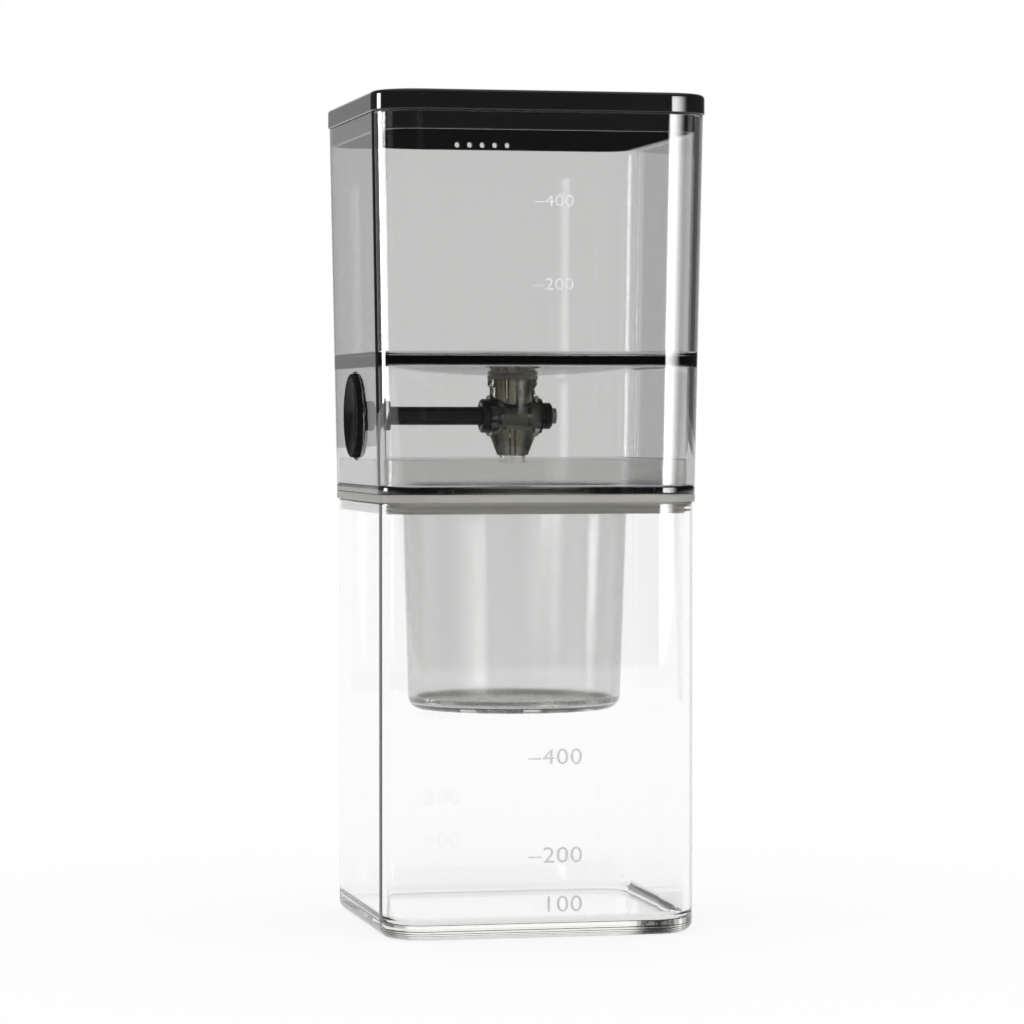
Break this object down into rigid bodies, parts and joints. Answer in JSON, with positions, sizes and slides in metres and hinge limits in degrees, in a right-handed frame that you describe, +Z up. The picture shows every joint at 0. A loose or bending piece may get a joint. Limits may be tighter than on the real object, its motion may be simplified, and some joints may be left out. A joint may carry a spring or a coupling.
{
  "type": "cold brew coffee maker",
  "caption": "Square stacking drip coffee maker: vented lid, smoke water tank with a knob-turned drip valve, hanging coffee cup on a silicone seal, clear serving vessel.",
  "frame": {"origin": "centre of the serving vessel's foot, on the surface it stands on", "axes": "+Z up through the stack, -Y the front with the volume marks, -X the side with the valve knob"},
  "size_m": [0.1012, 0.1012, 0.25],
  "materials": {
    "lid_black": "polished black moulded plastic",
    "smoke_clear": "polished see-through smoke grey plastic",
    "clear": "polished see-through clear plastic",
    "silicone": "soft milky silicone rubber",
    "valve_smoke": "see-through olive grey plastic",
    "core": "smooth natural acetal",
    "valve_black": "satin black moulded plastic",
    "o_ring": "black rubber",
    "knob_black": "glossy black moulded plastic",
    "screen_mesh": "fine woven stainless mesh in a rolled hoop"
  },
  "bodies": {
    "vessel": {"serving_vessel": "clear"},
    "cup": {"coffee_cup": "smoke_clear", "cup_seal": "silicone"},
    "screen": {"filter_screen": "screen_mesh"},
    "tank": {"water_tank": "smoke_clear", "valve_gasket": "silicone", "valve_body": "valve_smoke", "valve_gland": "valve_black"},
    "spindle": {"valve_plug": "core", "valve_o_ring": "o_ring", "valve_stem": "valve_black", "retaining_washer": "valve_black", "retaining_nut": "valve_black", "knob": "knob_black"},
    "lid": {"lid": "lid_black"}
  },
  "joints": [
    {"name": "cup_lift", "type": "slide", "parent": "vessel", "child": "cup", "axis": [0, 0, 1], "range_m": [0, 0.075]},
    {"name": "screen_lift", "type": "slide", "parent": "cup", "child": "screen", "axis": [0, 0, 1], "range_m": [0, 0.06]},
    {"name": "tank_lift", "type": "slide", "parent": "cup", "child": "tank", "axis": [0, 0, 1], "range_m": [0, 0.03]},
    {"name": "valve_turn", "type": "hinge", "parent": "tank", "child": "spindle", "pos_m": [0, 0, 0.1545], "axis": [1, 0, 0], "continuous": true},
    {"name": "lid_lift", "type": "slide", "parent": "tank", "child": "lid", "axis": [0, 0, 1], "range_m": [0, 0.03]}
  ]
}
